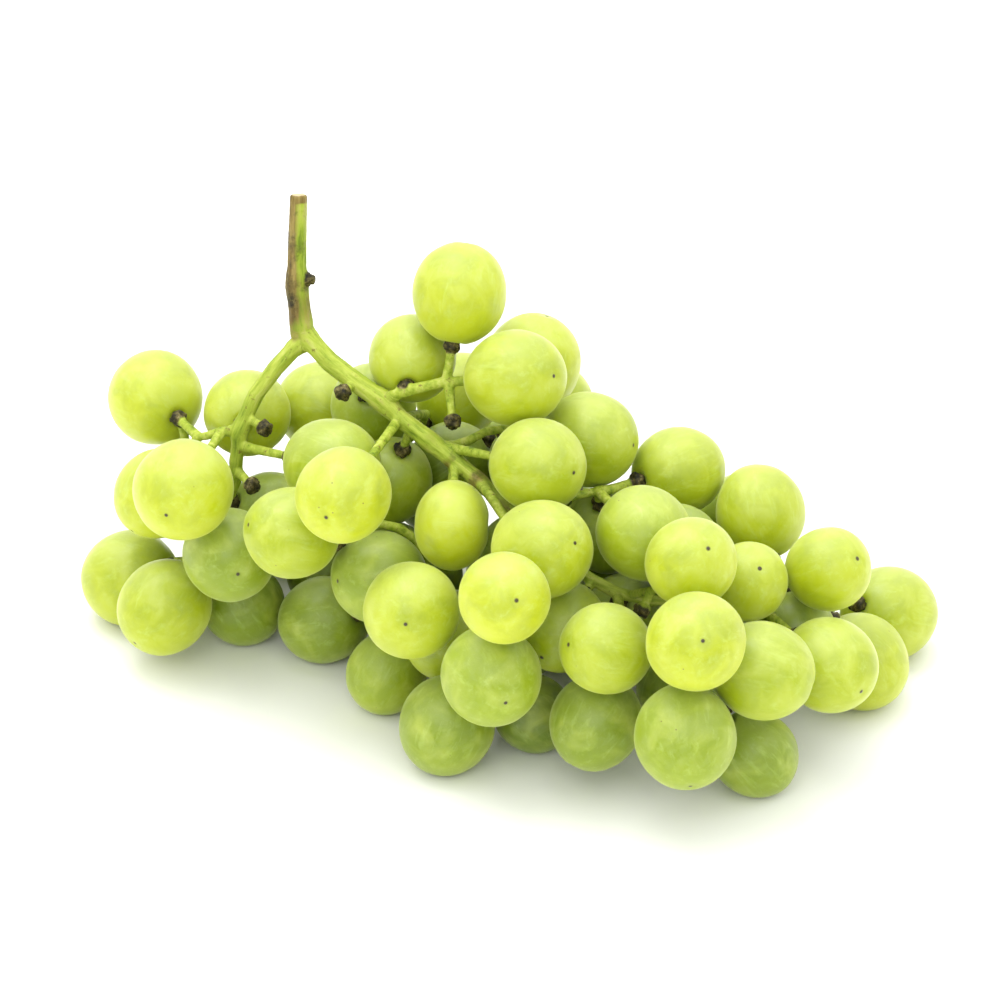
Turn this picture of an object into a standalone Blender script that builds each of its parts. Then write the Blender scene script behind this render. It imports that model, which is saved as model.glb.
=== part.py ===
"""A bunch of white table grapes, lying as it rests on a table.

One woody stem carries the berries: a cut peduncle, a shoulder branch, the rachis and its lateral
branches, and a pedicel with a flared receptacle for each berry. Every berry is its own object.

The layout is drawn in millimetres: x runs along the rachis from the cut end to the tip, y runs
across it from the front of the bunch to the back, z is the height above the table. The origin is
moved at the end to the middle of the bunch's box, at the table.
"""

import math

import bmesh
import bpy
import numpy as np
from mathutils import Vector

MM = 0.001

# Sizes shared by the whole bunch, in millimetres.
CLEARANCE = 0.3                 # least air left under a berry and round a pedicel
BERRY_GAP = 0.45                # air left between neighbouring berries
SLENDERNESS = 1.07              # a berry's length over its width
FOOT_SINK = 0.6                 # how far a berry flattens where it rests on the table
RESTING_SLACK = 0.6             # a berry drawn this close to the table rests on it
PEDICEL_RADIUS = 0.85
RECEPTACLE_RADIUS = 1.8
RECEPTACLE_FACE_RADIUS = 1.3
RECEPTACLE_LENGTH = 1.9
ROOT_RADIUS = 1.15
TIP_SETBACK = 0.7               # a pedicel roots at least this far from a branch's tip
DIP_START = 0.924               # where a berry's dip starts, as a share of its half length
SOCKET_DEPTH = 0.3              # how far the dip's bottom lies below that
FACE_GAP = 0.45                 # from the bottom of that dip to the receptacle's face

NECK = 1.3                      # where a pedicel starts to flare, in receptacle lengths
BULGE = 0.7                     # where its receptacle is widest, in receptacle lengths

BERRY_SEGMENTS = 12
BERRY_RINGS = 10
BRANCH_ROUNDNESS = 2            # bevel steps of a branch's tube
PEDICEL_ROUNDNESS = 1           # bevel steps of a pedicel's tube
PEDICEL_STEP = 5.5              # a point of the pedicel for each such length

# The settling of the berries and of the pedicels: how much of an overlap each step undoes.
SETTLE_STEPS = 500
BERRY_PUSH = 0.35
BRANCH_PUSH = 0.5
KNOB_PUSH = 0.3
HOME_PULL = 0.01
ROUTE_STEPS = 160
ROUTE_PUSH = 0.5
ROUTE_SMOOTHING = 0.15

# Each branch: its route (x, y, z), and its diameters, spread evenly from root to tip.
PEDUNCLE = [(-50.1, 5.2, 96.8), (-49.3, 3, 88), (-48.5, 1, 78), (-46.3, -1, 68.5)]
BRANCHES = {
    "rachis": (
        PEDUNCLE + [
            (-39.5, -1.7, 63.5), (-33, -2.5, 61), (-25.5, -3, 58), (-21.5, -3.8, 55.8),
            (-14, -4.5, 52.6), (-8, -4.6, 49.5), (-2, -5.5, 46.7), (4.5, -6.2, 43), (13, -7.4, 38),
            (25, -7.6, 32), (31, -7, 30), (38, -5, 29), (46.5, 0, 28.4), (54, 6, 27),
            (58, 14, 28), (62, 22, 24)],
        (3.6, 4.2, 4.0, 2.7, 2.2, 1.8)),
    "shoulder": (
        [(-44.5, -1.2, 67.2), (-47.5, -3, 65), (-50, -6, 61.5), (-52.7, -9.5, 56.5),
         (-54, -11.4, 52.5), (-55, -13.2, 48.4), (-55.2, -14.6, 42.3), (-55.6, -14.6, 37),
         (-57, -16.6, 32), (-58, -18.5, 27), (-60, -20.7, 20)],
        (3.6, 3.4, 2.8, 1.8)),
    "shoulder_spur": (
        [(-55, -13.2, 48.4), (-58.7, -14.2, 48.1), (-62.7, -13.9, 45.7), (-66, -12.8, 44)],
        (1.9, 1.6)),
    "crown": (
        [(-25.5, -3, 58.2), (-22, -2.8, 61.2), (-18.4, -1.6, 62.6), (-14.6, 1, 63.5),
         (-10.5, 3.5, 63.9), (-8.7, 4.5, 64)],
        (2.5, 1.9)),
    "front": (
        [(-8, -4.6, 49.5), (-8, -6.5, 44), (-9, -10.5, 38), (-9.5, -14.5, 30), (-9, -17, 21)],
        (2.1, 1.6)),
    "back": (
        [(-21.5, -3.8, 55.8), (-22.8, 6, 51.5), (-28, 19, 44), (-33.5, 25, 35)],
        (2.1, 1.6)),
    "middle": (
        [(-12, -4.5, 51.7), (-10.5, 0, 50.4), (-8.9, 3.4, 50.3), (-7, 6.3, 51.3),
         (-4.5, 11, 50.5), (-8, 23, 45.5)],
        (2.1, 1.6)),
    "waist": (
        [(-2, -5.5, 46.7), (3.3, -9.8, 46.4), (9, -15, 46), (12, -22, 41), (11, -31, 37),
         (10, -32, 22)],
        (2.3, 1.6)),
    "bridge": (
        [(4.5, -6.2, 43), (10.9, -2, 44), (17.1, 0, 45.4), (21, 4.5, 45.8)],
        (1.9, 1.6)),
    "hip": (
        [(31, -7, 30), (36, -15, 29), (42, -21, 28), (50, -25, 30), (56, -26, 36)],
        (2.1, 1.6)),
    "spur": (
        [(33, -6.6, 29.6), (38.5, -9, 33.5), (44, -13, 38)],
        (1.8, 1.5)),
    "far_side": (
        [(13, -7.4, 38), (9.5, 3, 37), (9.5, 14, 33), (8, 24, 32)],
        (1.9, 1.6)),
    "tail": (
        [(46.5, 0, 28.4), (46.5, 9, 28.5), (46, 22, 27.5)],
        (1.8, 1.6)),
}

# Berries on each branch, as drawn before they settle: (x, y, z, diameter).
BERRIES = {
    "shoulder_spur": [
        (-83, -2, 44, 20.5), (-53, -39, 48, 21), (-69, -24, 35, 18.5)],
    "shoulder": [
        (-61, 0, 45, 19), (-30, -18, 49, 20), (-51, -9, 28, 17.5), (-48, -30, 29, 20),
        (-79, -21, 10.5, 21), (-62.5, -33.5, 14, 20), (-53, -17, 9, 18)],
    "crown": [
        (-15, 10, 80, 20), (2, 2, 68, 20.5), (-25, 8, 63.5, 18.5)],
    "front": [
        (-1, -19, 43.5, 17), (-16, -25, 33, 19.5), (-29, -36, 43, 19), (1, -40, 35, 20),
        (-35, -15, 9.5, 19), (-13, -26, 8.5, 17), (-1, -26, 21, 17)],
    "rachis": [
        (-15, -39, 57, 19.5), (-25, -2, 39, 18), (-36, 10, 48.5, 18.5), (26, -22, 28.5, 18.5),
        (58, -2, 37.5, 16.5), (50, 21, 40, 19), (70, 11, 37, 17.5), (71, 42, 10, 20.5),
        (77, -3, 24, 19.5), (72, 21, 10, 20), (66, 10, 21.5, 17)],
    "back": [
        (-52, 17, 40.5, 20), (-27, 32, 42.5, 18.5), (-60, 32, 29, 19.5), (-62, 16, 9.3, 19),
        (-22, 42, 24, 19)],
    "middle": [
        (14, -10, 57, 19.5), (-5, 23.5, 59.5, 21), (15, 11, 53, 20), (-20, 15, 35.5, 18.5),
        (-7, 36, 43, 19)],
    "waist": [
        (23, -25.5, 48, 20.5), (25, -45, 47.5, 18.5), (21, -43, 27, 20.5), (8.5, -39, 10, 20),
        (21, -25, 8, 16.5)],
    "bridge": [
        (30.5, 21.5, 44, 19), (38, -9, 47, 19.5), (18, 11.5, 33, 18.5)],
    "hip": [
        (42, -34, 34.5, 18.5), (39, -32, 15, 19), (62, -38.5, 22.5, 20.5), (63, -37, 44, 20),
        (71, -22.5, 31.5, 20), (68, -18, 8.5, 17.5)],
    "spur": [
        (53.5, -20, 50.5, 18.5)],
    "far_side": [
        (22, 29, 25, 19)],
    "tail": [
        (38, 37, 27, 19), (52, 34, 9.3, 19)],
}

# A berry longer than the rest, and berries whose pedicel doesn't root at the nearest place.
LONG_BERRIES = {"front_berry_1": 1.25}
ROOTS = {
    "front_berry_1": (-8, -4.7, 49.4),
    "rachis_berry_1": (-21.5, -3.8, 55.8),
    "shoulder_berry_2": (-55.1, -13.9, 45.4),
    "crown_berry_1": (-13.5, 1.7, 63.6),
}

# Pedicels that have lost their berry: branch, where the receptacle ends (x, y, z).
BARE_PEDICELS = [
    ("spur", (40, -14.5, 31.5)),
    ("shoulder", (-48.3, -18.9, 39.4)),
    ("shoulder", (-47.9, -13.3, 50.7)),
    ("crown", (-9.5, -2.8, 56.5)),
    ("rachis", (-32.8, -8.9, 61)),
]
BUD_SCAR = [(-48.5, 1, 79), (-46.9, 1.9, 79.4), (-45.5, 2.6, 79.7)]
BUD_SCAR_RADII = [1.5, 1.0, 0.7]

LEAF_GREEN = (0.33, 0.46, 0.07)
RIPE_YELLOW = (0.72, 0.80, 0.17)
STEM_GREEN = (0.36, 0.42, 0.09)
BERRY_ROUGHNESS = 0.32
STEM_ROUGHNESS = 0.6
PEAK_HEIGHT = 90.0              # a berry this high is ripe yellow
SHARP_EDGE = math.radians(50)


def clear_scene():
    for item in list(bpy.data.objects):
        bpy.data.objects.remove(item, do_unlink=True)


def new_collection(name):
    collection = bpy.data.collections.new(name)
    bpy.context.scene.collection.children.link(collection)
    return collection


def new_material(name, colour, roughness):
    material = bpy.data.materials.new(name)
    material.use_nodes = True
    shader = material.node_tree.nodes["Principled BSDF"]
    shader.inputs["Base Color"].default_value = (*colour, 1.0)
    shader.inputs["Roughness"].default_value = roughness
    shader.inputs["Metallic"].default_value = 0.0
    return material


def unit(vectors):
    lengths = np.linalg.norm(vectors, axis=-1, keepdims=True)
    return vectors / np.maximum(lengths, 1e-9)


class Layout:
    """The berries' places, settled so that nothing touches, and the branches they hang from."""

    def __init__(self):
        self.names = []
        self.branch = []
        rows = []
        for branch, berries in BERRIES.items():
            for number, row in enumerate(berries, start=1):
                self.names.append(f"{branch}_berry_{number}")
                self.branch.append(branch)
                rows.append(row)
        table = np.array(rows, dtype=float)
        self.drawn = table[:, :3].copy()
        self.centre = table[:, :3].copy()
        mean_radius = table[:, 3] / 2
        slenderness = np.array([LONG_BERRIES.get(name, SLENDERNESS) for name in self.names])
        self.half_width = mean_radius / slenderness ** (1 / 3)
        self.half_length = self.half_width * slenderness
        self.rests = self.drawn[:, 2] < mean_radius + RESTING_SLACK
        self.starts, self.ends, self.radii = branch_segments()
        self.axis = np.zeros_like(self.centre)
        self.root = np.zeros_like(self.centre)
        self.aim_stem_ends()

    def aim_stem_ends(self):
        """Turn each berry's stem end to the nearest point of its branch, or to its own root."""
        for i, branch in enumerate(self.branch):
            nearest = nearest_on_route(self.centre[i], route_of(branch))
            self.root[i] = ROOTS.get(self.names[i], nearest)
        self.axis = unit(self.root - self.centre)

    def reach(self, index, direction):
        """Distance from a berry's centre to its skin along a direction."""
        along = np.sum(self.axis[index] * direction, axis=-1) ** 2
        width = self.half_width[index] ** 2
        length = self.half_length[index] ** 2
        return 1 / np.sqrt(along / length + (1 - along) / width)

    def drop(self):
        """Distance from each berry's centre down to its lowest point."""
        upright = self.axis[:, 2] ** 2
        return np.sqrt(upright * self.half_length ** 2 + (1 - upright) * self.half_width ** 2)

    def settle(self):
        """Push the berries apart, off the branches and off the table, close to their drawn places."""
        first, second = np.triu_indices(len(self.names), 1)
        for step in range(SETTLE_STEPS):
            push = np.zeros_like(self.centre)
            between = self.centre[first] - self.centre[second]
            distance = np.linalg.norm(between, axis=1)
            direction = between / distance[:, None]
            reach = self.reach(first, direction) + self.reach(second, direction)
            overlap = np.maximum(reach + BERRY_GAP - distance, 0)
            shove = direction * overlap[:, None] * BERRY_PUSH
            np.add.at(push, first, shove)
            np.add.at(push, second, -shove)
            push += self.push_off_branches()
            push += self.push_off_receptacles()
            if step < SETTLE_STEPS // 2:
                push += HOME_PULL * (self.drawn - self.centre)
            self.centre += push
            self.aim_stem_ends()
            floor = np.where(self.rests, self.drop() - FOOT_SINK, self.drop() + CLEARANCE)
            self.centre[:, 2] = np.where(self.rests, floor, np.maximum(self.centre[:, 2], floor))

    def push_off_branches(self):
        foot = nearest_on_segments(self.centre, self.starts, self.ends)
        away = self.centre[:, None] - foot
        distance = np.linalg.norm(away, axis=2)
        direction = away / np.maximum(distance, 1e-9)[..., None]
        berries = np.arange(len(self.names))[:, None]
        wanted = self.reach(berries, direction) + self.radii + BERRY_GAP
        overlap = np.maximum(wanted - distance, 0)
        nearest = np.argmax(overlap, axis=1)
        rows = np.arange(len(self.names))
        return direction[rows, nearest] * overlap[rows, nearest, None] * BRANCH_PUSH

    def push_off_receptacles(self):
        """Keep each berry off the knobs that hold its neighbours."""
        knobs = self.centre + self.axis * (self.half_length + RECEPTACLE_LENGTH / 3)[:, None]
        away = self.centre[:, None] - knobs
        distance = np.linalg.norm(away, axis=2)
        direction = away / np.maximum(distance, 1e-9)[..., None]
        berries = np.arange(len(self.names))[:, None]
        wanted = self.reach(berries, direction) + RECEPTACLE_RADIUS + BERRY_GAP
        overlap = np.maximum(wanted - distance, 0)
        np.fill_diagonal(overlap, 0)
        return np.sum(direction * overlap[..., None], axis=1) * KNOB_PUSH

    def stem_end(self, i):
        """Centre of the dip where the pedicel meets the berry."""
        return self.centre[i] + self.axis[i] * (self.half_length[i] * DIP_START - SOCKET_DEPTH)


def route_of(branch):
    route = BRANCHES[branch][0]
    if branch == "rachis":
        route = route[len(PEDUNCLE):]
    return np.array(route, dtype=float)


def branch_radii(branch):
    route, diameters = BRANCHES[branch]
    along = np.linspace(0, 1, len(route))
    return np.interp(along, np.linspace(0, 1, len(diameters)), diameters) / 2


def branch_segments():
    starts, ends, radii = [], [], []
    for branch, (route, _) in BRANCHES.items():
        thickness = branch_radii(branch)
        for i in range(len(route) - 1):
            starts.append(route[i])
            ends.append(route[i + 1])
            radii.append(thickness[i])
    return np.array(starts, float), np.array(ends, float), np.array(radii)


def nearest_on_segments(points, starts, ends):
    """Nearest point of every segment to every point."""
    span = ends - starts
    offset = points[:, None] - starts
    share = np.sum(offset * span, axis=2) / np.sum(span * span, axis=1)
    return starts + np.clip(share, 0, 1)[..., None] * span


def nearest_on_route(point, route):
    """Nearest point of a branch, kept back from its tip so that a pedicel roots inside it."""
    ends = route[1:].copy()
    ends[-1] -= unit(route[-1] - route[-2]) * TIP_SETBACK
    feet = nearest_on_segments(point[None], route[:-1], ends)[0]
    return feet[np.argmin(np.linalg.norm(feet - point, axis=1))]


def route_pedicel(layout, root, end, arrival):
    """A route from a branch to a receptacle, pushed clear of the berries on its way."""
    neck = end + arrival * RECEPTACLE_LENGTH * NECK
    count = 2 + max(1, round(np.linalg.norm(neck - root) / PEDICEL_STEP))
    share = np.linspace(0, 1, count)[:, None]
    points = root + (neck - root) * share
    everyone = np.arange(len(layout.names))[None]
    for _ in range(ROUTE_STEPS):
        samples = points[1:-1]
        away = samples[:, None] - layout.centre
        distance = np.linalg.norm(away, axis=2)
        direction = away / distance[..., None]
        wanted = layout.reach(everyone, direction) + ROOT_RADIUS + 2 * CLEARANCE
        overlap = np.maximum(wanted - distance, 0)
        push = np.sum(direction * overlap[..., None], axis=1) * ROUTE_PUSH
        smooth = (points[:-2] + points[2:]) / 2 - samples
        points[1:-1] = samples + push + ROUTE_SMOOTHING * smooth
    return np.vstack([points, end + arrival * RECEPTACLE_LENGTH * BULGE, end])


def pedicel_radii(points):
    shaft = np.linspace(ROOT_RADIUS, PEDICEL_RADIUS, len(points) - 2)
    return list(shaft) + [RECEPTACLE_RADIUS, RECEPTACLE_FACE_RADIUS]


def new_tube(name, points, radii, collection, roundness):
    """A solid tube with capped ends along a route, as a closed mesh."""
    curve = bpy.data.curves.new(name, "CURVE")
    curve.dimensions = "3D"
    curve.bevel_depth = MM
    curve.bevel_resolution = roundness
    curve.use_fill_caps = True
    spline = curve.splines.new("POLY")
    spline.points.add(len(points) - 1)
    for knot, point, radius in zip(spline.points, points, radii):
        knot.co = (*(Vector(point) * MM), 1.0)
        knot.radius = radius
    guide = bpy.data.objects.new(name, curve)
    collection.objects.link(guide)
    bpy.context.view_layer.update()
    evaluated = guide.evaluated_get(bpy.context.evaluated_depsgraph_get())
    mesh = bpy.data.meshes.new_from_object(evaluated)
    shell = bmesh.new()
    shell.from_mesh(mesh)
    bmesh.ops.remove_doubles(shell, verts=shell.verts, dist=0.01 * MM)
    bmesh.ops.recalc_face_normals(shell, faces=shell.faces)
    shell.to_mesh(mesh)
    shell.free()
    place = guide.matrix_world.copy()
    bpy.data.objects.remove(guide, do_unlink=True)
    tube = bpy.data.objects.new(name, mesh)
    tube.matrix_world = place
    collection.objects.link(tube)
    return tube


def hide_helpers(collection):
    for helper in collection.objects:
        helper.hide_render = True
        helper.display_type = "WIRE"


def build_stem(layout, parts, helpers):
    """The rachis, with every other branch and pedicel joined to it as one solid."""
    route = BRANCHES["rachis"][0]
    stem = new_tube("stem", route, branch_radii("rachis"), parts, BRANCH_ROUNDNESS)
    for branch, (points, _) in BRANCHES.items():
        if branch != "rachis":
            new_tube(branch, points, branch_radii(branch), helpers, BRANCH_ROUNDNESS)
    for i, name in enumerate(layout.names):
        face = layout.stem_end(i) + layout.axis[i] * FACE_GAP
        points = route_pedicel(layout, layout.root[i], face, layout.axis[i])
        new_tube(f"{name}_pedicel", points, pedicel_radii(points), helpers, PEDICEL_ROUNDNESS)
    for number, (branch, tip) in enumerate(BARE_PEDICELS, start=1):
        end = np.array(tip, dtype=float)
        root = nearest_on_route(end, route_of(branch))
        points = route_pedicel(layout, root, end, unit(root - end))
        new_tube(f"bare_pedicel_{number}", points, pedicel_radii(points), helpers, PEDICEL_ROUNDNESS)
    new_tube("bud_scar", BUD_SCAR, BUD_SCAR_RADII, helpers, PEDICEL_ROUNDNESS)
    hide_helpers(helpers)
    union = stem.modifiers.new("join branches", "BOOLEAN")
    union.operation = "UNION"
    union.operand_type = "COLLECTION"
    union.collection = helpers
    union.solver = "EXACT"
    union.use_self = True
    finish(stem, new_material("stem", STEM_GREEN, STEM_ROUGHNESS))
    return stem


def build_berry(layout, i, parts):
    """An ovoid berry with a dip at its stem end, flattened where it rests on the table."""
    name = layout.names[i]
    width, length = layout.half_width[i], layout.half_length[i]
    shell = bmesh.new()
    bmesh.ops.create_uvsphere(
        shell, u_segments=BERRY_SEGMENTS, v_segments=BERRY_RINGS, radius=MM)
    bmesh.ops.scale(shell, vec=(width, width, length), verts=shell.verts)
    pole = max(shell.verts, key=lambda vert: vert.co.z)
    pole.co.z = (length * DIP_START - SOCKET_DEPTH) * MM
    turn = Vector((0, 0, 1)).rotation_difference(Vector(layout.axis[i]))
    bmesh.ops.rotate(shell, matrix=turn.to_matrix(), verts=shell.verts)
    if layout.rests[i]:
        table = Vector((0, 0, -layout.centre[i][2] * MM))
        cut = bmesh.ops.bisect_plane(
            shell, geom=shell.verts[:] + shell.edges[:] + shell.faces[:],
            dist=0.0001 * MM, plane_co=table, plane_no=(0, 0, -1), clear_outer=True)
        rim = [edge for edge in cut["geom_cut"] if isinstance(edge, bmesh.types.BMEdge)]
        bmesh.ops.contextual_create(shell, geom=rim)
    bmesh.ops.recalc_face_normals(shell, faces=shell.faces)
    mesh = bpy.data.meshes.new(name)
    shell.to_mesh(mesh)
    shell.free()
    berry = bpy.data.objects.new(name, mesh)
    berry.location = Vector(layout.centre[i]) * MM
    parts.objects.link(berry)
    ripeness = min(max(layout.centre[i][2] / PEAK_HEIGHT, 0.0), 1.0)
    colour = [g + (y - g) * ripeness for g, y in zip(LEAF_GREEN, RIPE_YELLOW)]
    finish(berry, new_material(name, colour, BERRY_ROUGHNESS))
    return berry


def finish(item, material):
    item.data.materials.append(material)
    item.data.shade_smooth()
    item.data.set_sharp_from_angle(angle=SHARP_EDGE)


def centre_on_table(pieces, helpers):
    """Hang everything on an empty that moves the bunch to the middle of its box."""
    corners = [piece.matrix_world @ Vector(corner) for piece in pieces for corner in piece.bound_box]
    low = [min(corner[k] for corner in corners) for k in range(2)]
    high = [max(corner[k] for corner in corners) for k in range(2)]
    anchor = bpy.data.objects.new("bunch_of_grapes", None)
    bpy.context.scene.collection.objects.link(anchor)
    for item in pieces + list(helpers.objects):
        item.parent = anchor
    anchor.location = (-(low[0] + high[0]) / 2, -(low[1] + high[1]) / 2, 0.0)


def main():
    clear_scene()
    parts = new_collection("bunch_of_grapes")
    helpers = new_collection("stem_pieces")
    layout = Layout()
    layout.settle()
    berries = [build_berry(layout, i, parts) for i in range(len(layout.names))]
    stem = build_stem(layout, parts, helpers)
    bpy.context.view_layer.update()
    centre_on_table(berries + [stem], helpers)


main()
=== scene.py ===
"""Looks of a bunch of white table grapes lying on a table.

Each berry of the frame gets a fine skin with a dimple at its stem end and a small scar at its
blossom end. The stem is remeshed, roughened and browned where it is woody, and the inside of the
bunch is filled with the berries that the frame leaves out. Lengths are in millimetres until a
mesh is made.
"""

import math

import bmesh
import bpy
import numpy as np
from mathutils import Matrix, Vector, kdtree, noise


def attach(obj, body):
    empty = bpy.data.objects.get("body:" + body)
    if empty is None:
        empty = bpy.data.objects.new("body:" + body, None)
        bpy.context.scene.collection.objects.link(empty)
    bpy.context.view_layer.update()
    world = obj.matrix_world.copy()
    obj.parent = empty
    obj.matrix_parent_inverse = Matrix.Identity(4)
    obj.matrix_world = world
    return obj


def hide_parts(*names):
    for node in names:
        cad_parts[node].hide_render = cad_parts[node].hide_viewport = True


MM = 0.001

# Berries.
SLENDERNESS = 1.07              # a berry's length over its width
SKIN_SWELL = 0.08               # how far the fine skin stands outside the solid's
DIP_START = 0.924               # where a berry's dip starts, as a share of its half length
BERRY_RINGS = 46
BERRY_SEGMENTS = 60
POLE_CROWDING = 0.8             # 0: rings evenly spaced, towards 1: crowded at the poles
FACE_STANDOFF = 0.15            # from where the dip starts to the receptacle's face
DIMPLE_DEPTH = 0.85
DIMPLE_EDGE = (0.6, 3.0)        # an edge is where a hollow or a stain starts to fade, and ends
BLOSSOM_DEPTH = 0.22
BLOSSOM_EDGE = (0.2, 2.2)
SCAR_RADIUS = 0.42
SCAR_EDGE = (SCAR_RADIUS * 0.4, SCAR_RADIUS * 1.3)
SCAR_STAIN_EDGE = (SCAR_RADIUS * 0.85, SCAR_RADIUS * 1.15)
SCAR_HEIGHT = 0.1
LUMPS = [(0.09, 0.28), (0.22, 0.07)]  # frequency and height of the skin's unevenness
SEED_STEP = (7.3, 3.1, 1.7)     # each berry's place in the noise
PATTERN_STEP = 10               # the same for its colours, in those steps
FOOT_SOFTNESS = 0.2             # rounding of the flat where a berry rests

# Reading a berry off its solid.
FOOT_BAND = 0.05                # points this low belong to the flat that it rests on
FIT_STEPS = 6
SAME_POINT = 0.01

# Settling of the inner berries.
SETTLE_STEPS = 120
SETTLE_GAP = 0.3
SETTLE_PUSH = 0.3
SETTLE_PULL = 0.02
ROOM_GAP = 0.2
ROOT_REACH = 2                  # an inner berry's root is at least this far from its skin

# Berries inside the bunch, in the frame's place: x, y, z, diameter.
INNER_BERRIES = [
    (-18, -8, 22, 19), (-34, 6, 27, 19), (3, 16, 40.5, 19), (-68, -6.5, 26.5, 18.6),
    (15, -12, 18.5, 18.6), (-61.5, -2, 9, 19), (-39.5, 3.5, 9, 19), (59, -10, 22, 18.6),
    (6.5, 3.5, 25.5, 19), (-4, -7, 9, 19), (56.5, 15.5, 9, 18.6), (-27, 28, 24, 19),
    (-45, 21, 20.5, 19), (43, 20, 21, 19), (-5.5, 21.5, 9, 18.6), (35, 32, 9, 19),
    (-0.5, 29, 26, 19), (32, 4, 18.5, 19), (47, -3, 9, 19), (41, 7.5, 35.5, 18.6),
    (16.5, 9.5, 9, 19), (-20.5, 8, 11, 19), (12, 34, 10.5, 18)]

# Ripeness of each berry's skin together with painted shade, in the order of its branch: 0 is deep
# green and 1 is yellow; low and shadowed berries are set greener as painted shade.
RIPENESS_AND_SHADE = {
    "shoulder_spur": [1.0, 0.95, 0.95],
    "shoulder": [0.85, 0.6, 0.3, 0.35, 0.8, 0.75, 0.2],
    "crown": [0.95, 0.8, 0.75],
    "front": [1.0, 0.4, 0.7, 0.8, 0.25, 0.45, 0.65],
    "rachis": [1.0, 0.55, 0.5, 0.6, 0.8, 0.8, 0.85, 0.75, 0.7, 0.8, 0.2],
    "back": [0.8, 0.85, 0.6, 0.4, 0.6],
    "middle": [0.7, 0.95, 0.65, 0.2, 0.7],
    "waist": [0.8, 1.0, 0.45, 0.3, 0.05],
    "bridge": [0.75, 0.6, 0.35],
    "hip": [0.7, 0.25, 0.4, 0.9, 0.65, 0.25],
    "spur": [0.85],
    "far_side": [0.5],
    "tail": [0.5, 0.5],
    # Painted shade: the inner berries sit in the shade inside the bunch and are set deep green.
    "inner": [0.15] * len(INNER_BERRIES),
}

# Colours of the skin, ripeness and painted shade together, each with its place on the scale from
# green to yellow.
SKIN_AND_SHADE_TONES = [
    (0.0, (0.11, 0.17, 0.006)), (0.25, (0.22, 0.30, 0.010)), (0.5, (0.31, 0.40, 0.013)),
    (0.75, (0.42, 0.49, 0.012)), (1.0, (0.49, 0.55, 0.018))]
# Painted glow: the lower side of a berry is painted lighter and yellower, as light held in its
# flesh.
PAINTED_UNDER_GLOWS = [
    (0.0, (0.16, 0.24, 0.005)), (0.5, (0.38, 0.48, 0.005)), (1.0, (0.60, 0.66, 0.004))]
SHADE_GREEN = (0.21, 0.28, 0.008)
CLOUD_YELLOW = (0.60, 0.66, 0.15)
VEIN_GREEN = (0.58, 0.70, 0.20)
STALK_GREEN = (0.36, 0.46, 0.06)
BLOOM_WHITE = (0.66, 0.72, 0.42)
# Painted highlight: the pale sheen of the overhead softbox, painted onto the tops of the berries.
PAINTED_TOP_SHEEN = (0.48, 0.56, 0.19)
SPECK_BROWN = (0.20, 0.16, 0.04)
SCAR_BROWN = (0.05, 0.035, 0.012)
RIM_LIGHT = (0.92, 1.0, 0.62, 1.0)
LIGHT_DEPTH = (0.0070, 0.0070, 0.0014)

# Colours of the bark, each with its place in the noise that lays them out.
BARK_GREENS = [
    (0.30, (0.12, 0.19, 0.010)), (0.42, (0.28, 0.37, 0.028)), (0.55, (0.42, 0.50, 0.060)),
    (0.78, (0.62, 0.64, 0.20))]
CORK_BROWNS = [
    (0.38, (0.010, 0.009, 0.002)), (0.5, (0.050, 0.042, 0.011)), (0.60, (0.14, 0.115, 0.036)),
    (0.72, (0.34, 0.29, 0.13))]
TANNED_BROWNS = [
    (0.30, (0.05, 0.030, 0.008)), (0.48, (0.17, 0.115, 0.024)), (0.70, (0.36, 0.28, 0.08))]
LENTICEL_BROWN = (0.14, 0.08, 0.02)
CUT_WOOD = (0.62, 0.50, 0.30)
BARK_LIGHT_DEPTH = (0.0012, 0.0012, 0.0004)
TABLE_WHITE = (0.93, 0.93, 0.92, 1.0)

# Stem.
VOXEL = 0.32
SMOOTH_STEPS = 4
RECEPTACLE_LENGTH = 1.9
KNOB_MIDDLE = 0.55              # middle of a receptacle, in receptacle lengths from its face
KNOB_EDGE = (1.43, 2.6)         # browning round a receptacle
BRANCH_EDGE = (2.4, 3.4)        # where the skin of a branch gives way to a pedicel's
GRAIN_AROUND = 1.3              # frequency of the grain round a branch
GRAIN_ALONG = 0.10              # and along it
PEDICEL_GRAIN = 0.55
SHOULDER_START = 200            # keeps the shoulder's grain apart from the rachis's
PEDUNCLE_EDGE = (20, 34)        # the peduncle's browning ends over this length from the cut
PEDUNCLE_SKIN = (2.5, 3.5)
BROWN_SIDE = math.radians(120)  # side of the peduncle that has browned
STREAK_EDGE = (-0.1, 0.9)       # cosines of the angle from that side
CUT_RADIUS = (1.25, 1.5)        # the wood and the bark round it, at the cut
CUT_FACE_EDGE = (-0.5, -0.2)    # from the cut, below it
CUT_RIM_EDGE = (-0.9, -0.3)
CUT_REACH = 4                   # from the middle of the peduncle
WART_FREQUENCY = 1.1
FINE_FREQUENCY = 2.6
FINE_SHIFT = (9, 4, 1)
RIDGE_FREQUENCY = 1.6
KNOB_LIFT = (0.30, 0.50, 0.20)  # a receptacle rises evenly, and with its warts and fine warts
BARK_LIFT = (0.10, 0.03, 0.03)  # the same for the rest of the stem
RIDGE_LIFT = 0.20
TANNING = (0.25, 0.75, 0.8, 0.8)  # by the peduncle, its brown side, the cut's rim and cork
CORKING = (0.15, 0.2, 0, 0.4)   # the same for the darkest brown

# Pedicels of the inner berries.
PEDICEL_RADIUS = 0.85
PEDICEL_ROOT_RADIUS = 1.1
RECEPTACLE_RADIUS = 1.8
RECEPTACLE_FACE_RADIUS = 1.3
NECK = 1.3                      # where a pedicel starts to flare, in receptacle lengths
BULGE = 0.7                     # where its receptacle is widest, in receptacle lengths
PEDICEL_STEP = 3.0
PEDICEL_AIR = 0.4
ROUTE_STEPS = 60
ROUTE_PUSH = 0.5
ROUTE_SMOOTHING = 0.2

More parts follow.
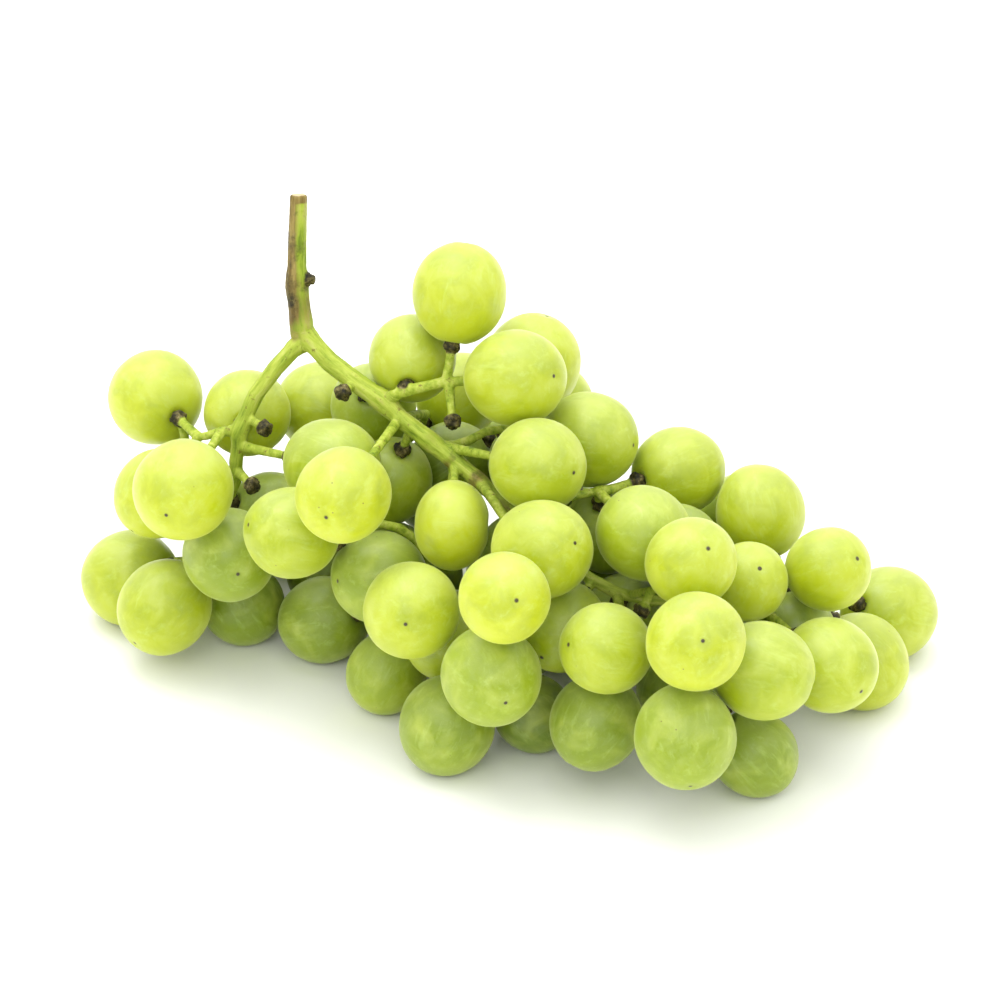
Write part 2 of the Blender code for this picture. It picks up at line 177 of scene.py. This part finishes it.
# Routes of the two main branches, in the frame's place.
RACHIS = [
    (-47, 5.8, 96), (-46.2, 3.8, 88), (-45.4, 1.8, 78), (-43.2, -0.2, 68.5), (-36.4, -0.9, 63.5),
    (-30, -1.7, 61), (-22.4, -2.2, 58), (-11, -3.7, 52.6), (1, -4.7, 46.7), (16, -6.6, 38),
    (28, -6.8, 32), (41, -4.2, 29), (57, 6.8, 27)]
SHOULDER = [
    (-43.2, -0.2, 68.5), (-47, -5.2, 61.5), (-49.6, -8.7, 56.5), (-51.9, -12.4, 48.4),
    (-52.2, -13.8, 42.3), (-54, -15.8, 32), (-57, -19.9, 20)]

# Middles of the bud scar and of the receptacles that have lost their berry.
BARE_KNOBS = [
    (43.1, -13.7, 31.5), (-45.6, -17.8, 39.8), (-45.2, -12.7, 50.7), (-6.4, -2.0, 57.0),
    (-29.7, -7.7, 61.0), (-42.4, 3.2, 79.7)]

# Swollen nodes of the stem: place, reach, rise, and how corky each one is.
SWELLING_CORE = 1.2             # each is at its full height this near its middle
SWELLINGS = [
    ((-43.4, -0.2, 68.5), 5.5, 0.55, 0.25), ((-45.4, 1.7, 78.5), 4.5, 0.45, 0.35),
    ((-44.6, 0.8, 73.5), 6.0, 0.40, 0.5), ((-22.4, -2.3, 58.2), 4.5, 0.55, 0.3),
    ((-46.0, -0.8, 67.0), 2.6, 0.1, 0.9), ((-10.9, -3.8, 52.6), 3.6, 0.3, 0.5),
    ((-5.5, -3.9, 49.6), 2.6, 0.2, 1.0), ((1.1, -4.8, 46.7), 3.4, 0.3, 0.8),
    ((7.6, -5.5, 43), 3.0, 0.2, 0.6), ((16, -6.7, 38), 2.8, 0.2, 0.7),
    ((-51.9, -12.5, 48.4), 4.0, 0.4, 0.1)]

# Table and softboxes, in metres. Each softbox has its place and its watts.
TABLE_REACH = 4.0
BUNCH_MIDDLE = (0, 0, 0.03)
SOFTBOX_SIZE = 0.6
SOFTBOXES = [
    ("top_softbox", (-0.2, 0.0, 0.95), 3.0),
    ("front_softbox", (0.3, -0.9, 0.75), 2.0)]

# Brightness of the studio's white dome near the horizon and overhead, and how high each is.
DOME_LOW = 0.85
DOME_HIGH = 1.9
DOME_HEIGHTS = (0.25, 0.9)

# Camera.
AZIMUTH = 28
ELEVATION = 30
DISTANCE = 0.9
TARGET = Vector((3.14, 0.70, 40)) * MM
LENS = 155.5
SENSOR_WIDTH = 36


def unit(vectors):
    lengths = np.linalg.norm(vectors, axis=-1, keepdims=True)
    return vectors / np.maximum(lengths, 1e-9)


def smoothstep(low, high, value):
    share = np.clip((value - low) / (high - low), 0, 1)
    return share * share * (3 - 2 * share)


def vertices_of(item):
    flat = np.zeros(len(item.data.vertices) * 3)
    item.data.vertices.foreach_get("co", flat)
    return flat.reshape(-1, 3) / MM


class Berry:
    """An ellipsoid: centre, axis towards its stem end, half width and half length."""

    def __init__(self, name, centre, axis, half_width, half_length):
        self.name = name
        self.centre = centre
        self.axis = axis
        self.half_width = half_width
        self.half_length = half_length

    def stem_end(self):
        """Middle of the receptacle's face."""
        return self.centre + self.axis * (self.half_length * DIP_START + FACE_STANDOFF)

    def radius(self):
        return (self.half_width * 2 + self.half_length) / 3


def measure_berry(name, node):
    """Read a berry's ellipsoid off its solid: the stem end is the one point that lies inside it."""
    points = vertices_of(node)
    points = points[points[:, 2] > FOOT_BAND]
    centre = points.mean(axis=0)
    for _ in range(FIT_STEPS):
        distance = np.linalg.norm(points - centre, axis=1)
        pole = points[np.argmin(distance)]
        axis = unit(pole - centre)
        skin = points[np.linalg.norm(points - pole, axis=1) > SAME_POINT]
        along = skin @ axis
        side = skin - np.outer(along, axis)
        terms = np.column_stack([2 * side, -along ** 2, 2 * along, np.ones(len(skin))])
        square = np.sum(side ** 2, axis=1)
        solved = np.linalg.lstsq(terms, square, rcond=None)[0]
        flatness = solved[3]
        middle = solved[:3] - axis * (solved[:3] @ axis)
        centre = middle + axis * solved[4] / flatness
    along = (skin - centre) @ axis
    across = np.linalg.norm(skin - centre, axis=1) ** 2 - along ** 2
    half_width = math.sqrt(np.mean(across + flatness * along ** 2))
    return Berry(name, centre, axis, half_width, half_width / math.sqrt(flatness))


def place_inner_berries(outer, stem_points):
    """Settle the inner berries between the others, then size each to the room it has."""
    drawn = np.array(INNER_BERRIES, dtype=float)
    centre = drawn[:, :3].copy()
    radius = drawn[:, 3] / 2
    fixed = np.array([berry.centre for berry in outer])
    fixed_radius = np.array([berry.radius() for berry in outer])
    for _ in range(SETTLE_STEPS):
        push = np.zeros_like(centre)
        for others, sizes in ((fixed, fixed_radius), (centre, radius)):
            away = centre[:, None] - others
            distance = np.linalg.norm(away, axis=2)
            overlap = radius[:, None] + sizes + SETTLE_GAP - distance
            overlap = np.where(distance < SAME_POINT, 0, np.maximum(overlap, 0))
            way = away / np.maximum(distance, SAME_POINT)[..., None]
            push += np.sum(way * overlap[..., None], axis=1) * SETTLE_PUSH
        centre += push + SETTLE_PULL * (drawn[:, :3] - centre)
        centre[:, 2] = np.maximum(centre[:, 2], radius)
    room = np.linalg.norm(centre[:, None] - fixed, axis=2) - fixed_radius - ROOM_GAP
    radius = np.minimum(radius, room.min(axis=1))
    inner = []
    for number, (place, size) in enumerate(zip(centre, radius), start=1):
        gaps = np.linalg.norm(stem_points - place, axis=1)
        gaps = np.where(gaps < size + ROOT_REACH, np.inf, gaps)
        root = stem_points[np.argmin(gaps)]
        half_width = size / SLENDERNESS ** (1 / 3)
        berry = Berry(
            f"inner_berry_{number}", place, unit(root - place), half_width,
            half_width * SLENDERNESS)
        berry.root = root
        inner.append(berry)
    return inner


def ring_angles():
    """Angles of a berry's rings from its stem end, the poles left out."""
    share = np.linspace(0, 1, BERRY_RINGS + 1)[1:-1]
    return math.pi * share - POLE_CROWDING * np.sin(2 * math.pi * share) / 2


def berry_faces(rows):
    """Faces of a ball: a fan at each pole and quads between the rings."""
    faces = []
    last = rows * BERRY_SEGMENTS + 1
    for j in range(BERRY_SEGMENTS):
        k = (j + 1) % BERRY_SEGMENTS
        faces.append((0, 1 + j, 1 + k))
        for i in range(rows - 1):
            a = 1 + i * BERRY_SEGMENTS
            b = a + BERRY_SEGMENTS
            faces.append((a + j, b + j, b + k, a + k))
        a = 1 + (rows - 1) * BERRY_SEGMENTS
        faces.append((a + j, last, a + k))
    return faces


def keep_value(mesh, name, values):
    attribute = mesh.attributes.new(name, "FLOAT", "POINT")
    attribute.data.foreach_set("value", values.astype(float))


def keep_vector(mesh, name, vectors):
    attribute = mesh.attributes.new(name, "FLOAT_VECTOR", "POINT")
    attribute.data.foreach_set("vector", vectors.ravel())


def berry_mesh(berry, seed):
    """A fine closed skin, with coordinates of its own kept on each vertex."""
    turn = Vector((0, 0, 1)).rotation_difference(Vector(berry.axis)).to_matrix()
    turn = np.array(turn)
    angles = ring_angles()
    around = np.linspace(0, 2 * math.pi, BERRY_SEGMENTS, endpoint=False)
    polar, turning = np.meshgrid(angles, around, indexing="ij")
    polar = np.concatenate([[0.0], polar.ravel(), [math.pi]])
    turning = np.concatenate([[0.0], turning.ravel(), [0.0]])
    width = berry.half_width + SKIN_SWELL
    length = berry.half_length + SKIN_SWELL
    sphere = np.column_stack([
        np.sin(polar) * np.cos(turning), np.sin(polar) * np.sin(turning), np.cos(polar)])
    local = sphere * (width, width, length)
    off_axis = np.hypot(local[:, 0], local[:, 1])
    top = sphere[:, 2] > 0
    dimple = 1 - smoothstep(*DIMPLE_EDGE, off_axis)
    local[:, 2] -= np.where(top, DIMPLE_DEPTH * dimple, 0)
    blossom = 1 - smoothstep(*BLOSSOM_EDGE, off_axis)
    local[:, 2] += np.where(top, 0, BLOSSOM_DEPTH * blossom)
    scar = 1 - smoothstep(*SCAR_EDGE, off_axis)
    local[:, 2] -= np.where(top, 0, SCAR_HEIGHT * scar)
    shift = Vector([seed * step for step in SEED_STEP])
    lumps = np.array([
        sum(noise.noise(Vector(p) * frequency + shift) * height for frequency, height in LUMPS)
        for p in local])
    local += sphere * lumps[:, None]
    world = local @ turn.T + berry.centre
    height = world[:, 2]
    world[:, 2] = (height + np.sqrt(height ** 2 + FOOT_SOFTNESS ** 2)) / 2
    mesh = bpy.data.meshes.new(berry.name)
    mesh.from_pydata((world * MM).tolist(), [], berry_faces(len(angles)))
    stain = 1 - smoothstep(*SCAR_STAIN_EDGE, off_axis)
    keep_vector(mesh, "own", local + np.array(shift) * PATTERN_STEP)
    keep_value(mesh, "end", sphere[:, 2] * 0.5 + 0.5)
    keep_value(mesh, "ripe", np.full(len(world), berry.ripe))
    keep_value(mesh, "scar", np.where(top, 0, stain))
    mesh.shade_smooth()
    mesh.update()
    return mesh


class Nodes:
    """A short way to write a node tree."""

    MIX_INPUTS = (0, 6, 7)          # share and the two colours of a colour Mix
    MIX_OUTPUT = 2

    def __init__(self, name):
        self.material = bpy.data.materials.new(name)
        self.material.use_nodes = True
        self.tree = self.material.node_tree
        self.shader = self.tree.nodes["Principled BSDF"]

    def add(self, kind, **settings):
        node = self.tree.nodes.new(kind)
        for key, value in settings.items():
            setattr(node, key, value)
        return node

    def link(self, source, target):
        self.tree.links.new(source, target)

    def set(self, node, **values):
        for key, value in values.items():
            node.inputs[key.replace("_", " ")].default_value = value

    def attribute(self, name):
        return self.add("ShaderNodeAttribute", attribute_name=name)

    def noise(self, vector, scale, detail=3.0, roughness=0.5, distortion=0.0):
        node = self.add("ShaderNodeTexNoise")
        self.link(vector, node.inputs["Vector"])
        self.set(node, Scale=scale, Detail=detail, Roughness=roughness, Distortion=distortion)
        return node.outputs["Fac"]

    def ramp(self, source, stops):
        node = self.add("ShaderNodeValToRGB")
        self.link(source, node.inputs["Fac"])
        ramp = node.color_ramp
        while len(ramp.elements) < len(stops):
            ramp.elements.new(0.5)
        for element, (place, colour) in zip(ramp.elements, stops):
            element.position = place
            element.color = (*colour, 1.0)
        return node.outputs["Color"]

    def span(self, source, low, high, to_low=0.0, to_high=1.0):
        node = self.add("ShaderNodeMapRange", clamp=True)
        self.link(source, node.inputs["Value"])
        node.inputs["From Min"].default_value = low
        node.inputs["From Max"].default_value = high
        node.inputs["To Min"].default_value = to_low
        node.inputs["To Max"].default_value = to_high
        return node.outputs["Result"]

    def mix(self, share, first, second):
        node = self.add("ShaderNodeMix", data_type="RGBA")
        for value, place in zip((share, first, second), self.MIX_INPUTS):
            if isinstance(value, bpy.types.NodeSocket):
                self.link(value, node.inputs[place])
            else:
                node.inputs[place].default_value = (*value, 1.0)
        return node.outputs[self.MIX_OUTPUT]

    def math(self, operation, first, second=0.0):
        node = self.add("ShaderNodeMath", operation=operation)
        for value, socket in ((first, 0), (second, 1)):
            if isinstance(value, bpy.types.NodeSocket):
                self.link(value, node.inputs[socket])
            else:
                node.inputs[socket].default_value = value
        return node.outputs[0]

    def stretched(self, vector, scale):
        node = self.add("ShaderNodeMapping")
        self.link(vector, node.inputs["Vector"])
        node.inputs["Scale"].default_value = scale
        return node.outputs["Vector"]

    def bump(self, height, strength, distance):
        node = self.add("ShaderNodeBump")
        self.link(height, node.inputs["Height"])
        self.set(node, Strength=strength, Distance=distance)
        self.link(node.outputs["Normal"], self.shader.inputs["Normal"])


def berry_material():
    """Skin: a tone of ripeness and painted shade, with clouds, veins, bloom, a painted highlight on
    top and a painted glow of held light below.
    """
    skin = Nodes("grape_skin")
    own = skin.attribute("own").outputs["Vector"]
    ripe = skin.attribute("ripe").outputs["Fac"]
    end = skin.attribute("end").outputs["Fac"]
    scar = skin.attribute("scar").outputs["Fac"]
    # The tone holds each berry's ripeness and its painted shade.
    tone_and_shade = skin.ramp(ripe, SKIN_AND_SHADE_TONES)
    clouds = skin.noise(own, 0.16, 3.0, 0.55, 0.6)
    dark = skin.mix(skin.span(clouds, 0.30, 0.52, 0.38, 0.0), tone_and_shade, SHADE_GREEN)
    cloudy = skin.mix(skin.span(clouds, 0.48, 0.75, 0.0, 0.5), dark, CLOUD_YELLOW)
    veins = skin.noise(skin.stretched(own, (1.0, 1.0, 0.22)), 0.55, 4.0, 0.65, 0.4)
    veined = skin.mix(skin.span(veins, 0.52, 0.7, 0.0, 0.34), cloudy, VEIN_GREEN)
    stalk = skin.mix(skin.span(end, 0.86, 1.0, 0.0, 0.45), veined, STALK_GREEN)
    bloom_map = skin.noise(own, 0.28, 5.0, 0.7)
    bloom = skin.span(bloom_map, 0.45, 0.8)
    dusted = skin.mix(skin.math("MULTIPLY", bloom, 0.16), stalk, BLOOM_WHITE)
    facing = skin.add("ShaderNodeSeparateXYZ")
    skin.link(skin.add("ShaderNodeNewGeometry").outputs["Normal"], facing.inputs["Vector"])
    # Painted highlight on the upward-facing skin, and painted glow on the downward-facing skin.
    painted_sheen_share = skin.span(facing.outputs["Z"], 0.3, 1.0, 0.0, 0.40)
    painted_glow_share = skin.span(facing.outputs["Z"], 0.5, -0.7, 0.0, 0.55)
    sheen_painted = skin.mix(painted_sheen_share, dusted, PAINTED_TOP_SHEEN)
    glow_painted = skin.mix(painted_glow_share, sheen_painted, skin.ramp(ripe, PAINTED_UNDER_GLOWS))
    specked = skin.mix(skin.math("MULTIPLY", specks(skin, own), 0.75), glow_painted, SPECK_BROWN)
    final = skin.mix(scar, specked, SCAR_BROWN)
    skin.link(final, skin.shader.inputs["Base Color"])
    rough = skin.span(bloom_map, 0.35, 0.75, 0.38, 0.58)
    skin.link(rough, skin.shader.inputs["Roughness"])
    skin.set(
        skin.shader, Subsurface_Weight=1.0, Subsurface_Scale=1.0, Subsurface_Anisotropy=0.3,
        IOR=1.45, Coat_Weight=0.25, Coat_Roughness=0.30, Coat_IOR=1.5, Sheen_Weight=0.25,
        Sheen_Roughness=0.35, Sheen_Tint=RIM_LIGHT, Subsurface_Radius=LIGHT_DEPTH)
    skin.bump(skin.noise(own, 2.2, 3.0, 0.6), 0.25, 0.00012)
    return skin.material


def specks(skin, own):
    """One small round speck in one cell out of ten."""
    cells = skin.add("ShaderNodeTexVoronoi")
    skin.link(own, cells.inputs["Vector"])
    skin.set(cells, Scale=0.36, Randomness=1.0)
    near = skin.span(cells.outputs["Distance"], 0.045, 0.075, 1.0, 0.0)
    chosen = skin.add("ShaderNodeSeparateColor")
    skin.link(cells.outputs["Color"], chosen.inputs["Color"])
    picked = skin.math("GREATER_THAN", chosen.outputs[0], 0.90)
    return skin.math("MULTIPLY", near, picked)


def stem_material():
    """Bark: green streaks that tan and turn corky where the vertices say so, and cut wood."""
    bark = Nodes("stem_bark")
    grain = bark.attribute("grain").outputs["Vector"]
    brown = bark.attribute("brown").outputs["Fac"]
    tan = bark.attribute("tan").outputs["Fac"]
    cut = bark.attribute("cut").outputs["Fac"]
    place = bark.add("ShaderNodeTexCoord").outputs["Object"]
    streaks = bark.noise(grain, 1.0, 5.0, 0.65)
    green = bark.ramp(streaks, BARK_GREENS)
    mottles = bark.noise(place, 700, 4.0, 0.7)
    speckled = bark.mix(bark.span(mottles, 0.60, 0.70, 0.0, 0.75), green, LENTICEL_BROWN)
    tan_share = bark.math("ADD", tan, bark.span(streaks, 0.3, 0.7, -0.3, 0.3))
    browned = bark.mix(
        bark.span(tan_share, 0.25, 0.8), speckled, bark.ramp(streaks, TANNED_BROWNS))
    patch = bark.noise(place, 260, 4.0, 0.65)
    cork_share = bark.math("ADD", brown, bark.span(patch, 0.3, 0.7, -0.35, 0.35))
    woody = bark.mix(
        bark.span(cork_share, 0.3, 0.75), browned, bark.ramp(mottles, CORK_BROWNS))
    final = bark.mix(cut, woody, CUT_WOOD)
    bark.link(final, bark.shader.inputs["Base Color"])
    bark.set(
        bark.shader, Roughness=0.6, Specular_IOR_Level=0.3, Subsurface_Weight=0.2,
        Subsurface_Scale=1.0, Subsurface_Radius=BARK_LIGHT_DEPTH)
    bark.bump(bark.math("ADD", streaks, mottles), 0.6, 0.00025)
    return bark.material


def add_piece(name, mesh, nodes=()):
    piece = bpy.data.objects.new(name, mesh)
    bpy.context.scene.collection.objects.link(piece)
    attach(piece, "root")
    if nodes:
        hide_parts(*nodes)
    return piece


def tube_mesh(points, radii, sides=10):
    """A closed tube in millimetres along a route."""
    shell = bmesh.new()
    rings = []
    points = np.array(points, dtype=float)
    ahead = np.gradient(points, axis=0)
    side = unit(np.cross(unit(ahead[0]), (0.3, 0.5, 0.8)))
    for point, way, radius in zip(points, ahead, radii):
        way = unit(way)
        side = unit(side - way * (side @ way))
        other = np.cross(way, side)
        ring = []
        for k in range(sides):
            angle = 2 * math.pi * k / sides
            place = point + radius * (side * math.cos(angle) + other * math.sin(angle))
            ring.append(shell.verts.new(place * MM))
        rings.append(ring)
    for first, second in zip(rings[:-1], rings[1:]):
        for k in range(sides):
            m = (k + 1) % sides
            shell.faces.new((first[k], first[m], second[m], second[k]))
    shell.faces.new(list(reversed(rings[0])))
    shell.faces.new(rings[-1])
    mesh = bpy.data.meshes.new("tube")
    shell.to_mesh(mesh)
    shell.free()
    return mesh


def inner_pedicel(berry, berries):
    """A pedicel from the stem to an inner berry, bent clear of the berries on its way."""
    face = berry.stem_end()
    neck = face + berry.axis * RECEPTACLE_LENGTH * NECK
    count = 3 + round(np.linalg.norm(berry.root - neck) / PEDICEL_STEP)
    points = berry.root + (neck - berry.root) * np.linspace(0, 1, count)[:, None]
    centres = np.array([other.centre for other in berries])
    sizes = np.array([other.radius() for other in berries]) + PEDICEL_RADIUS + PEDICEL_AIR
    for _ in range(ROUTE_STEPS):
        middle = points[1:-1]
        away = middle[:, None] - centres
        distance = np.linalg.norm(away, axis=2)
        overlap = np.maximum(sizes - distance, 0)
        push = np.sum(away / distance[..., None] * overlap[..., None], axis=1) * ROUTE_PUSH
        smooth = (points[:-2] + points[2:]) / 2 - middle
        points[1:-1] = middle + push + ROUTE_SMOOTHING * smooth
    bulge = face + berry.axis * RECEPTACLE_LENGTH * BULGE
    points = np.vstack([points, bulge, face])
    shaft = np.linspace(PEDICEL_ROOT_RADIUS, PEDICEL_RADIUS, count)
    radii = [*shaft, RECEPTACLE_RADIUS, RECEPTACLE_FACE_RADIUS]
    return tube_mesh(points, radii)


def along_route(points, route):
    """For every point: length along the route to its nearest place, distance, and angle."""
    route = np.array(route, dtype=float)
    starts, spans = route[:-1], np.diff(route, axis=0)
    lengths = np.linalg.norm(spans, axis=1)
    before = np.concatenate([[0], np.cumsum(lengths)[:-1]])
    offset = points[:, None] - starts
    share = np.clip(np.sum(offset * spans, axis=2) / lengths ** 2, 0, 1)
    away = offset - share[..., None] * spans
    distance = np.linalg.norm(away, axis=2)
    nearest = np.argmin(distance, axis=1)
    rows = np.arange(len(points))
    length = before[nearest] + share[rows, nearest] * lengths[nearest]
    way = spans[nearest] / lengths[nearest, None]
    side = unit(np.cross(way, (0.3, 1.0, 0.2)))
    other = np.cross(way, side)
    radial = away[rows, nearest]
    angle = np.arctan2(np.sum(radial * other, axis=1), np.sum(radial * side, axis=1))
    return length, distance[rows, nearest], angle


def build_stem(berries, inner, material):
    """One remeshed, roughened stem that carries the inner pedicels too."""
    frame_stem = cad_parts["stem"]
    shell = bmesh.new()
    shell.from_mesh(frame_stem.data)
    for berry in inner:
        tube = inner_pedicel(berry, berries)
        shell.from_mesh(tube)
        bpy.data.meshes.remove(tube)
    mesh = bpy.data.meshes.new("stem_bark")
    shell.to_mesh(mesh)
    shell.free()
    mesh.materials.clear()
    stem = add_piece("stem_bark", mesh, ["stem"])
    remesh = stem.modifiers.new("one skin", "REMESH")
    remesh.mode = "VOXEL"
    remesh.voxel_size = VOXEL * MM
    smooth = stem.modifiers.new("soften", "SMOOTH")
    smooth.factor = 0.5
    smooth.iterations = SMOOTH_STEPS
    evaluated = stem.evaluated_get(bpy.context.evaluated_depsgraph_get())
    fine = bpy.data.meshes.new_from_object(evaluated)
    stem.modifiers.clear()
    stem.data = fine
    bpy.data.meshes.remove(mesh)
    fine.name = "stem_bark"
    roughen_stem(stem, berries, material)
    return stem


def knob_share(points, berries):
    """How far each point belongs to a receptacle: 1 on it, 0 away from it."""
    knobs = [berry.stem_end() + berry.axis * RECEPTACLE_LENGTH * KNOB_MIDDLE for berry in berries]
    knobs += [np.array(place) for place in BARE_KNOBS]
    tree = kdtree.KDTree(len(knobs))
    for number, knob in enumerate(knobs):
        tree.insert(knob, number)
    tree.balance()
    to_knob = np.array([tree.find(point)[2] for point in points])
    return 1 - smoothstep(*KNOB_EDGE, to_knob)


def swellings_at(points):
    """How much the swollen nodes lift each point, and how corky they make it."""
    rise = np.zeros(len(points))
    corky = np.zeros(len(points))
    for place, reach, height, cork in SWELLINGS:
        distance = np.linalg.norm(points - np.array(place), axis=1)
        near = 1 - smoothstep(SWELLING_CORE, reach, distance)
        rise += height * near
        corky = np.maximum(corky, cork * near)
    return rise, corky


def noise_at(points):
    return np.array([noise.noise(Vector(point)) for point in points])


def cut_and_rim(points, on_branch):
    """The cut wood at the end of the peduncle, and the dry bark round it."""
    top = np.array(RACHIS[0], dtype=float)
    way = unit(top - np.array(RACHIS[1], dtype=float))
    beyond = (points - top) @ way
    radial = np.linalg.norm(points - top - np.outer(beyond, way), axis=1)
    outside = smoothstep(*CUT_RADIUS, radial)
    cut = smoothstep(*CUT_FACE_EDGE, beyond) * (1 - outside)
    rim = smoothstep(*CUT_RIM_EDGE, beyond) * outside * on_branch
    return cut, rim


def roughen_stem(stem, berries, material):
    """Raise warts, ridges and swellings, and keep the browning on each vertex."""
    mesh = stem.data
    points = vertices_of(stem)
    normals = np.zeros(len(points) * 3)
    mesh.vertices.foreach_get("normal", normals)
    normals = normals.reshape(-1, 3)
    knob = knob_share(points, berries)
    lengths, gaps, angles = along_route(points, RACHIS)
    side_lengths, side_gaps, side_angles = along_route(points, SHOULDER)
    on_side = side_gaps < gaps
    length = np.where(on_side, side_lengths + SHOULDER_START, lengths)
    gap = np.where(on_side, side_gaps, gaps)
    angle = np.where(on_side, side_angles, angles)

    woody = 1 - smoothstep(*BRANCH_EDGE, gap)
    grain = np.column_stack([
        np.cos(angle) * GRAIN_AROUND, np.sin(angle) * GRAIN_AROUND, length * GRAIN_ALONG])
    grain = grain * woody[:, None] + points * PEDICEL_GRAIN * (1 - woody)[:, None]
    warts = noise_at(points * WART_FREQUENCY)
    fine = noise_at(points * FINE_FREQUENCY + FINE_SHIFT)
    ridges = noise_at(grain * (RIDGE_FREQUENCY, RIDGE_FREQUENCY, 1))
    rise, corky = swellings_at(points)
    unevenness = np.column_stack([np.ones(len(points)), warts, fine])
    lift = knob * (unevenness @ KNOB_LIFT)
    lift += (1 - knob) * (unevenness @ BARK_LIFT + woody * RIDGE_LIFT * ridges)
    points = points + normals * (lift + rise)[:, None]
    mesh.vertices.foreach_set("co", (points * MM).ravel())

    cut, rim = cut_and_rim(points, gap < CUT_REACH)
    peduncle = (1 - smoothstep(*PEDUNCLE_EDGE, lengths)) * (1 - smoothstep(*PEDUNCLE_SKIN, gaps))
    streak = smoothstep(*STREAK_EDGE, np.cos(angle - BROWN_SIDE)) * peduncle
    browning = np.column_stack([peduncle, streak, rim, corky])
    keep_value(mesh, "brown", np.clip(knob + browning @ CORKING, 0, 1))
    keep_value(mesh, "tan", np.clip(browning @ TANNING, 0, 1))
    keep_value(mesh, "cut", cut)
    keep_vector(mesh, "grain", grain)
    mesh.materials.clear()
    mesh.materials.append(material)
    mesh.shade_smooth()
    mesh.update()


def make_floor():
    mesh = bpy.data.meshes.new("table")
    corners = [(-1, -1), (1, -1), (1, 1), (-1, 1)]
    mesh.from_pydata(
        [(x * TABLE_REACH, y * TABLE_REACH, 0) for x, y in corners], [], [(0, 1, 2, 3)])
    floor = bpy.data.objects.new("table", mesh)
    bpy.context.scene.collection.objects.link(floor)
    paint = Nodes("white_table")
    paint.set(paint.shader, Roughness=0.9, Specular_IOR_Level=0.1, Base_Color=TABLE_WHITE)
    mesh.materials.append(paint.material)


def softbox(name, place, power):
    lamp = bpy.data.lights.new(name, "AREA")
    lamp.shape = "DISK"
    lamp.size = SOFTBOX_SIZE
    lamp.energy = power
    item = bpy.data.objects.new(name, lamp)
    item.location = place
    item.rotation_mode = "QUATERNION"
    item.rotation_quaternion = (Vector(BUNCH_MIDDLE) - Vector(place)).to_track_quat("-Z", "Y")
    bpy.context.scene.collection.objects.link(item)


def light_scene():
    world = bpy.data.worlds.new("studio")
    bpy.context.scene.world = world
    world.use_nodes = True
    tree = world.node_tree
    place = tree.nodes.new("ShaderNodeTexCoord")
    height = tree.nodes.new("ShaderNodeSeparateXYZ")
    tree.links.new(place.outputs["Generated"], height.inputs["Vector"])
    dome = tree.nodes.new("ShaderNodeMapRange")
    tree.links.new(height.outputs["Z"], dome.inputs["Value"])
    dome.inputs["From Min"].default_value, dome.inputs["From Max"].default_value = DOME_HEIGHTS
    dome.inputs["To Min"].default_value = DOME_LOW
    dome.inputs["To Max"].default_value = DOME_HIGH
    sky = tree.nodes["Background"]
    sky.inputs["Color"].default_value = (1.0, 1.0, 1.0, 1.0)
    tree.links.new(dome.outputs["Result"], sky.inputs["Strength"])
    for name, place, power in SOFTBOXES:
        softbox(name, place, power)


def make_camera():
    a, e = math.radians(AZIMUTH), math.radians(ELEVATION)
    back = Vector((math.sin(a) * math.cos(e), -math.cos(a) * math.cos(e), math.sin(e)))
    data = bpy.data.cameras.new("camera")
    data.lens = LENS
    data.sensor_width = SENSOR_WIDTH
    data.clip_start = 0.05
    data.clip_end = 20
    camera = bpy.data.objects.new("camera", data)
    camera.location = TARGET + back * DISTANCE
    camera.rotation_mode = "QUATERNION"
    camera.rotation_quaternion = (-back).to_track_quat("-Z", "Y")
    bpy.context.scene.collection.objects.link(camera)
    bpy.context.scene.camera = camera


def make_berries():
    """A skin for every berry of the frame, and the berries inside the bunch."""
    outer = [
        measure_berry(name, node) for name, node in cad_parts.items() if name != "stem"]
    inner = place_inner_berries(outer, vertices_of(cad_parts["stem"]))
    grape = berry_material()
    for seed, berry in enumerate(outer + inner):
        branch, number = berry.name.split("_berry_")
        # A berry's tone value holds both its ripeness and painted shade.
        berry.ripe = RIPENESS_AND_SHADE[branch][int(number) - 1]
        mesh = berry_mesh(berry, seed)
        mesh.materials.append(grape)
        if berry in outer:
            add_piece(f"{berry.name}_skin", mesh, [berry.name])
        else:
            add_piece(berry.name, mesh)
    return outer + inner, inner


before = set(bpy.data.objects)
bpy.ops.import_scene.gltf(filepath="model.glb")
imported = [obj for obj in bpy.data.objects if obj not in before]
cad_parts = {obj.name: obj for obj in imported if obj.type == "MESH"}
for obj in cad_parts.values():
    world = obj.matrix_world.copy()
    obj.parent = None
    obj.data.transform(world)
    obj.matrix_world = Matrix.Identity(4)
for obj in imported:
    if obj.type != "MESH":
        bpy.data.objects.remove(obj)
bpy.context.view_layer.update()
bpy.context.scene.view_settings.view_transform = "Standard"

make_camera()
light_scene()
make_floor()

every_berry, inner_berries = make_berries()
build_stem(every_berry, inner_berries, stem_material())
